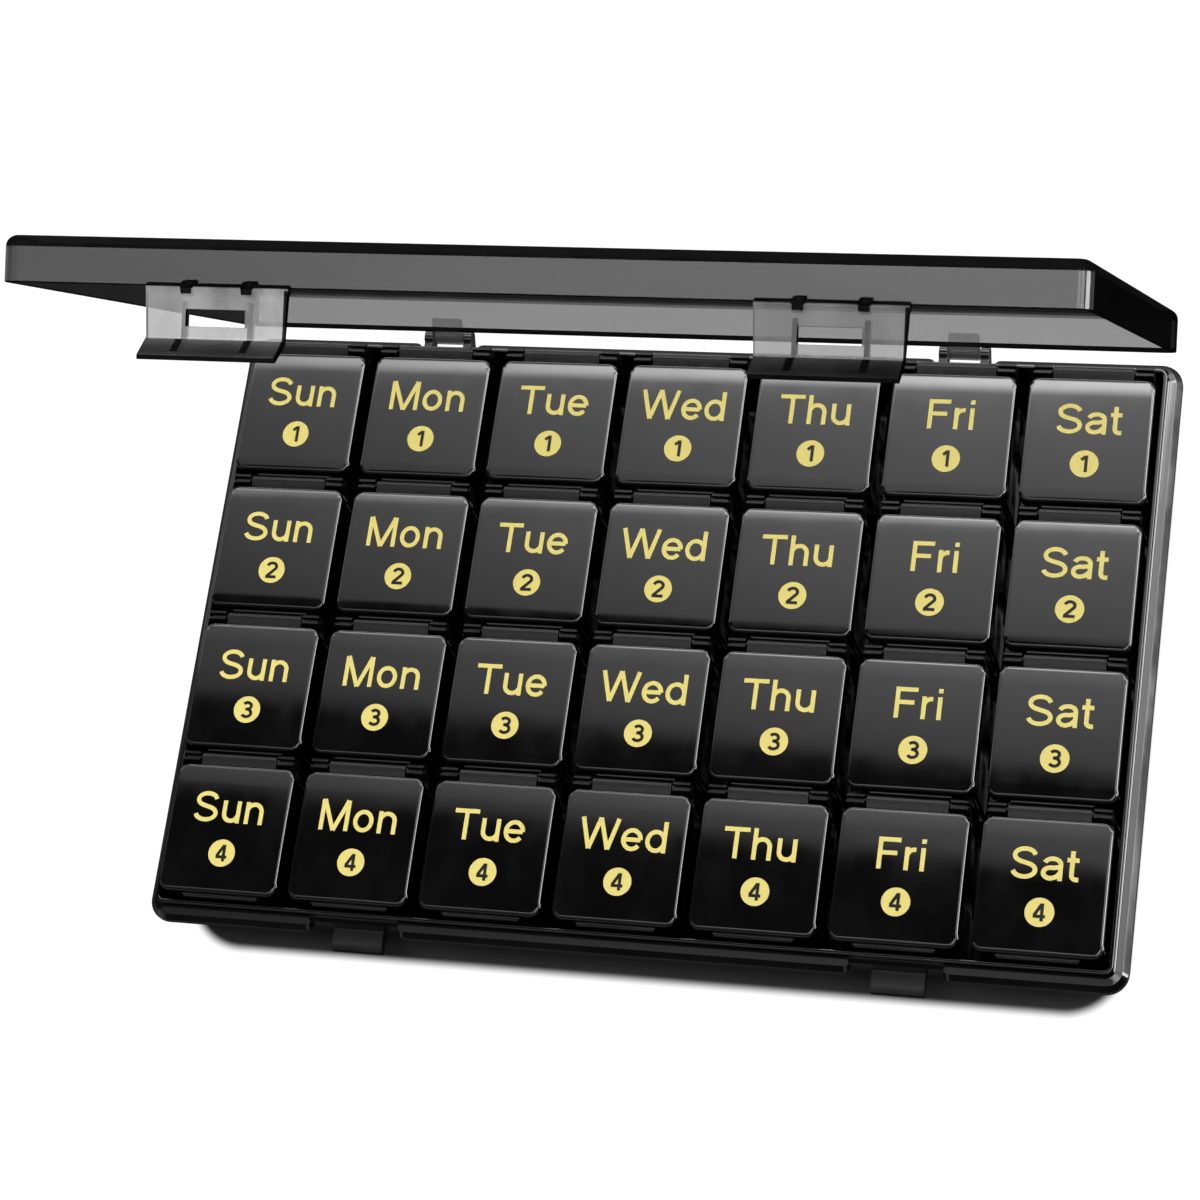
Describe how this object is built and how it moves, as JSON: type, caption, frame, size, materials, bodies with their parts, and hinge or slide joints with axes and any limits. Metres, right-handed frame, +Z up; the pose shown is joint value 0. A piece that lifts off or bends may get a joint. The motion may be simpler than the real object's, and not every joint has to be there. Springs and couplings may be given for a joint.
{
  "type": "four-week pill organizer",
  "caption": "Monthly pill organizer: lidded day pods in a black tray under a hinged smoke-clear cover with snap latches.",
  "frame": {"origin": "centre of the flat underside of the tray", "axes": "+Z up, +X along the rows of days to the user's right, +Y from the user to the cover's hinges"},
  "size_m": [0.2276, 0.1608, 0.1613],
  "materials": {
    "pod_black": "glossy",
    "tray_black": "glossy",
    "smoke_clear": "glossy",
    "smoke_latch": "glossy"
  },
  "bodies": {
    "tray": {"tray": "tray_black"},
    "cover": {"cover": "smoke_clear"},
    "latch_left": {"latch_left": "smoke_latch"},
    "latch_right": {"latch_right": "smoke_latch"},
    "pod_1_sun": {"box_1_sun": "pod_black"},
    "lid_1_sun": {"lid_1_sun": "pod_black"},
    "pod_1_mon": {"box_1_mon": "pod_black"},
    "lid_1_mon": {"lid_1_mon": "pod_black"},
    "pod_1_tue": {"box_1_tue": "pod_black"},
    "lid_1_tue": {"lid_1_tue": "pod_black"},
    "pod_1_wed": {"box_1_wed": "pod_black"},
    "lid_1_wed": {"lid_1_wed": "pod_black"},
    "pod_1_thu": {"box_1_thu": "pod_black"},
    "lid_1_thu": {"lid_1_thu": "pod_black"},
    "pod_1_fri": {"box_1_fri": "pod_black"},
    "lid_1_fri": {"lid_1_fri": "pod_black"},
    "pod_1_sat": {"box_1_sat": "pod_black"},
    "lid_1_sat": {"lid_1_sat": "pod_black"},
    "pod_2_sun": {"box_2_sun": "pod_black"},
    "lid_2_sun": {"lid_2_sun": "pod_black"},
    "pod_2_mon": {"box_2_mon": "pod_black"},
    "lid_2_mon": {"lid_2_mon": "pod_black"},
    "pod_2_tue": {"box_2_tue": "pod_black"},
    "lid_2_tue": {"lid_2_tue": "pod_black"},
    "pod_2_wed": {"box_2_wed": "pod_black"},
    "lid_2_wed": {"lid_2_wed": "pod_black"},
    "pod_2_thu": {"box_2_thu": "pod_black"},
    "lid_2_thu": {"lid_2_thu": "pod_black"},
    "pod_2_fri": {"box_2_fri": "pod_black"},
    "lid_2_fri": {"lid_2_fri": "pod_black"},
    "pod_2_sat": {"box_2_sat": "pod_black"},
    "lid_2_sat": {"lid_2_sat": "pod_black"},
    "pod_3_sun": {"box_3_sun": "pod_black"},
    "lid_3_sun": {"lid_3_sun": "pod_black"},
    "pod_3_mon": {"box_3_mon": "pod_black"},
    "lid_3_mon": {"lid_3_mon": "pod_black"},
    "pod_3_tue": {"box_3_tue": "pod_black"},
    "lid_3_tue": {"lid_3_tue": "pod_black"},
    "pod_3_wed": {"box_3_wed": "pod_black"},
    "lid_3_wed": {"lid_3_wed": "pod_black"},
    "pod_3_thu": {"box_3_thu": "pod_black"},
    "lid_3_thu": {"lid_3_thu": "pod_black"},
    "pod_3_fri": {"box_3_fri": "pod_black"},
    "lid_3_fri": {"lid_3_fri": "pod_black"},
    "pod_3_sat": {"box_3_sat": "pod_black"},
    "lid_3_sat": {"lid_3_sat": "pod_black"},
    "pod_4_sun": {"box_4_sun": "pod_black"},
    "lid_4_sun": {"lid_4_sun": "pod_black"},
    "pod_4_mon": {"box_4_mon": "pod_black"},
    "lid_4_mon": {"lid_4_mon": "pod_black"},
    "pod_4_tue": {"box_4_tue": "pod_black"},
    "lid_4_tue": {"lid_4_tue": "pod_black"},
    "pod_4_wed": {"box_4_wed": "pod_black"},
    "lid_4_wed": {"lid_4_wed": "pod_black"},
    "pod_4_thu": {"box_4_thu": "pod_black"},
    "lid_4_thu": {"lid_4_thu": "pod_black"},
    "pod_4_fri": {"box_4_fri": "pod_black"},
    "lid_4_fri": {"lid_4_fri": "pod_black"},
    "pod_4_sat": {"box_4_sat": "pod_black"},
    "lid_4_sat": {"lid_4_sat": "pod_black"}
  },
  "joints": [
    {"name": "cover_hinge", "type": "hinge", "parent": "tray", "child": "cover", "pos_m": [0, 0.075, 0.0189], "axis": [-1, 0, 0], "range_deg": [-69.4, 110.6]},
    {"name": "latch_left_hinge", "type": "hinge", "parent": "cover", "child": "latch_left", "pos_m": [-0.063, 0.02301, 0.1595], "axis": [-1, 0, 0], "range_deg": [0, 100]},
    {"name": "latch_right_hinge", "type": "hinge", "parent": "cover", "child": "latch_right", "pos_m": [0.063, 0.02301, 0.1595], "axis": [-1, 0, 0], "range_deg": [0, 100]},
    {"name": "lift_1_sun", "type": "slide", "parent": "tray", "child": "pod_1_sun", "axis": [0, 0, 1], "range_m": [0, 0.032]},
    {"name": "lid_hinge_1_sun", "type": "hinge", "parent": "pod_1_sun", "child": "lid_1_sun", "pos_m": [-0.0945, 0.06805, 0.0263], "axis": [-1, 0, 0], "range_deg": [0, 88]},
    {"name": "lift_1_mon", "type": "slide", "parent": "tray", "child": "pod_1_mon", "axis": [0, 0, 1], "range_m": [0, 0.032]},
    {"name": "lid_hinge_1_mon", "type": "hinge", "parent": "pod_1_mon", "child": "lid_1_mon", "pos_m": [-0.063, 0.06805, 0.0263], "axis": [-1, 0, 0], "range_deg": [0, 88]},
    {"name": "lift_1_tue", "type": "slide", "parent": "tray", "child": "pod_1_tue", "axis": [0, 0, 1], "range_m": [0, 0.032]},
    {"name": "lid_hinge_1_tue", "type": "hinge", "parent": "pod_1_tue", "child": "lid_1_tue", "pos_m": [-0.0315, 0.06805, 0.0263], "axis": [-1, 0, 0], "range_deg": [0, 88]},
    {"name": "lift_1_wed", "type": "slide", "parent": "tray", "child": "pod_1_wed", "axis": [0, 0, 1], "range_m": [0, 0.032]},
    {"name": "lid_hinge_1_wed", "type": "hinge", "parent": "pod_1_wed", "child": "lid_1_wed", "pos_m": [0, 0.06805, 0.0263], "axis": [-1, 0, 0], "range_deg": [0, 88]},
    {"name": "lift_1_thu", "type": "slide", "parent": "tray", "child": "pod_1_thu", "axis": [0, 0, 1], "range_m": [0, 0.032]},
    {"name": "lid_hinge_1_thu", "type": "hinge", "parent": "pod_1_thu", "child": "lid_1_thu", "pos_m": [0.0315, 0.06805, 0.0263], "axis": [-1, 0, 0], "range_deg": [0, 88]},
    {"name": "lift_1_fri", "type": "slide", "parent": "tray", "child": "pod_1_fri", "axis": [0, 0, 1], "range_m": [0, 0.032]},
    {"name": "lid_hinge_1_fri", "type": "hinge", "parent": "pod_1_fri", "child": "lid_1_fri", "pos_m": [0.063, 0.06805, 0.0263], "axis": [-1, 0, 0], "range_deg": [0, 88]},
    {"name": "lift_1_sat", "type": "slide", "parent": "tray", "child": "pod_1_sat", "axis": [0, 0, 1], "range_m": [0, 0.032]},
    {"name": "lid_hinge_1_sat", "type": "hinge", "parent": "pod_1_sat", "child": "lid_1_sat", "pos_m": [0.0945, 0.06805, 0.0263], "axis": [-1, 0, 0], "range_deg": [0, 88]},
    {"name": "lift_2_sun", "type": "slide", "parent": "tray", "child": "pod_2_sun", "axis": [0, 0, 1], "range_m": [0, 0.032]},
    {"name": "lid_hinge_2_sun", "type": "hinge", "parent": "pod_2_sun", "child": "lid_2_sun", "pos_m": [-0.0945, 0.03325, 0.0263], "axis": [-1, 0, 0], "range_deg": [0, 100]},
    {"name": "lift_2_mon", "type": "slide", "parent": "tray", "child": "pod_2_mon", "axis": [0, 0, 1], "range_m": [0, 0.032]},
    {"name": "lid_hinge_2_mon", "type": "hinge", "parent": "pod_2_mon", "child": "lid_2_mon", "pos_m": [-0.063, 0.03325, 0.0263], "axis": [-1, 0, 0], "range_deg": [0, 100]},
    {"name": "lift_2_tue", "type": "slide", "parent": "tray", "child": "pod_2_tue", "axis": [0, 0, 1], "range_m": [0, 0.032]},
    {"name": "lid_hinge_2_tue", "type": "hinge", "parent": "pod_2_tue", "child": "lid_2_tue", "pos_m": [-0.0315, 0.03325, 0.0263], "axis": [-1, 0, 0], "range_deg": [0, 100]},
    {"name": "lift_2_wed", "type": "slide", "parent": "tray", "child": "pod_2_wed", "axis": [0, 0, 1], "range_m": [0, 0.032]},
    {"name": "lid_hinge_2_wed", "type": "hinge", "parent": "pod_2_wed", "child": "lid_2_wed", "pos_m": [0, 0.03325, 0.0263], "axis": [-1, 0, 0], "range_deg": [0, 100]},
    {"name": "lift_2_thu", "type": "slide", "parent": "tray", "child": "pod_2_thu", "axis": [0, 0, 1], "range_m": [0, 0.032]},
    {"name": "lid_hinge_2_thu", "type": "hinge", "parent": "pod_2_thu", "child": "lid_2_thu", "pos_m": [0.0315, 0.03325, 0.0263], "axis": [-1, 0, 0], "range_deg": [0, 100]},
    {"name": "lift_2_fri", "type": "slide", "parent": "tray", "child": "pod_2_fri", "axis": [0, 0, 1], "range_m": [0, 0.032]},
    {"name": "lid_hinge_2_fri", "type": "hinge", "parent": "pod_2_fri", "child": "lid_2_fri", "pos_m": [0.063, 0.03325, 0.0263], "axis": [-1, 0, 0], "range_deg": [0, 100]},
    {"name": "lift_2_sat", "type": "slide", "parent": "tray", "child": "pod_2_sat", "axis": [0, 0, 1], "range_m": [0, 0.032]},
    {"name": "lid_hinge_2_sat", "type": "hinge", "parent": "pod_2_sat", "child": "lid_2_sat", "pos_m": [0.0945, 0.03325, 0.0263], "axis": [-1, 0, 0], "range_deg": [0, 100]},
    {"name": "lift_3_sun", "type": "slide", "parent": "tray", "child": "pod_3_sun", "axis": [0, 0, 1], "range_m": [0, 0.032]},
    {"name": "lid_hinge_3_sun", "type": "hinge", "parent": "pod_3_sun", "child": "lid_3_sun", "pos_m": [-0.0945, -0.00155, 0.0263], "axis": [-1, 0, 0], "range_deg": [0, 100]},
    {"name": "lift_3_mon", "type": "slide", "parent": "tray", "child": "pod_3_mon", "axis": [0, 0, 1], "range_m": [0, 0.032]},
    {"name": "lid_hinge_3_mon", "type": "hinge", "parent": "pod_3_mon", "child": "lid_3_mon", "pos_m": [-0.063, -0.00155, 0.0263], "axis": [-1, 0, 0], "range_deg": [0, 100]},
    {"name": "lift_3_tue", "type": "slide", "parent": "tray", "child": "pod_3_tue", "axis": [0, 0, 1], "range_m": [0, 0.032]},
    {"name": "lid_hinge_3_tue", "type": "hinge", "parent": "pod_3_tue", "child": "lid_3_tue", "pos_m": [-0.0315, -0.00155, 0.0263], "axis": [-1, 0, 0], "range_deg": [0, 100]},
    {"name": "lift_3_wed", "type": "slide", "parent": "tray", "child": "pod_3_wed", "axis": [0, 0, 1], "range_m": [0, 0.032]},
    {"name": "lid_hinge_3_wed", "type": "hinge", "parent": "pod_3_wed", "child": "lid_3_wed", "pos_m": [0, -0.00155, 0.0263], "axis": [-1, 0, 0], "range_deg": [0, 100]},
    {"name": "lift_3_thu", "type": "slide", "parent": "tray", "child": "pod_3_thu", "axis": [0, 0, 1], "range_m": [0, 0.032]},
    {"name": "lid_hinge_3_thu", "type": "hinge", "parent": "pod_3_thu", "child": "lid_3_thu", "pos_m": [0.0315, -0.00155, 0.0263], "axis": [-1, 0, 0], "range_deg": [0, 100]},
    {"name": "lift_3_fri", "type": "slide", "parent": "tray", "child": "pod_3_fri", "axis": [0, 0, 1], "range_m": [0, 0.032]},
    {"name": "lid_hinge_3_fri", "type": "hinge", "parent": "pod_3_fri", "child": "lid_3_fri", "pos_m": [0.063, -0.00155, 0.0263], "axis": [-1, 0, 0], "range_deg": [0, 100]},
    {"name": "lift_3_sat", "type": "slide", "parent": "tray", "child": "pod_3_sat", "axis": [0, 0, 1], "range_m": [0, 0.032]},
    {"name": "lid_hinge_3_sat", "type": "hinge", "parent": "pod_3_sat", "child": "lid_3_sat", "pos_m": [0.0945, -0.00155, 0.0263], "axis": [-1, 0, 0], "range_deg": [0, 100]},
    {"name": "lift_4_sun", "type": "slide", "parent": "tray", "child": "pod_4_sun", "axis": [0, 0, 1], "range_m": [0, 0.032]},
    {"name": "lid_hinge_4_sun", "type": "hinge", "parent": "pod_4_sun", "child": "lid_4_sun", "pos_m": [-0.0945, -0.03635, 0.0263], "axis": [-1, 0, 0], "range_deg": [0, 100]},
    {"name": "lift_4_mon", "type": "slide", "parent": "tray", "child": "pod_4_mon", "axis": [0, 0, 1], "range_m": [0, 0.032]},
    {"name": "lid_hinge_4_mon", "type": "hinge", "parent": "pod_4_mon", "child": "lid_4_mon", "pos_m": [-0.063, -0.03635, 0.0263], "axis": [-1, 0, 0], "range_deg": [0, 100]},
    {"name": "lift_4_tue", "type": "slide", "parent": "tray", "child": "pod_4_tue", "axis": [0, 0, 1], "range_m": [0, 0.032]},
    {"name": "lid_hinge_4_tue", "type": "hinge", "parent": "pod_4_tue", "child": "lid_4_tue", "pos_m": [-0.0315, -0.03635, 0.0263], "axis": [-1, 0, 0], "range_deg": [0, 100]},
    {"name": "lift_4_wed", "type": "slide", "parent": "tray", "child": "pod_4_wed", "axis": [0, 0, 1], "range_m": [0, 0.032]},
    {"name": "lid_hinge_4_wed", "type": "hinge", "parent": "pod_4_wed", "child": "lid_4_wed", "pos_m": [0, -0.03635, 0.0263], "axis": [-1, 0, 0], "range_deg": [0, 100]},
    {"name": "lift_4_thu", "type": "slide", "parent": "tray", "child": "pod_4_thu", "axis": [0, 0, 1], "range_m": [0, 0.032]},
    {"name": "lid_hinge_4_thu", "type": "hinge", "parent": "pod_4_thu", "child": "lid_4_thu", "pos_m": [0.0315, -0.03635, 0.0263], "axis": [-1, 0, 0], "range_deg": [0, 100]},
    {"name": "lift_4_fri", "type": "slide", "parent": "tray", "child": "pod_4_fri", "axis": [0, 0, 1], "range_m": [0, 0.032]},
    {"name": "lid_hinge_4_fri", "type": "hinge", "parent": "pod_4_fri", "child": "lid_4_fri", "pos_m": [0.063, -0.03635, 0.0263], "axis": [-1, 0, 0], "range_deg": [0, 100]},
    {"name": "lift_4_sat", "type": "slide", "parent": "tray", "child": "pod_4_sat", "axis": [0, 0, 1], "range_m": [0, 0.032]},
    {"name": "lid_hinge_4_sat", "type": "hinge", "parent": "pod_4_sat", "child": "lid_4_sat", "pos_m": [0.0945, -0.03635, 0.0263], "axis": [-1, 0, 0], "range_deg": [0, 100]}
  ]
}
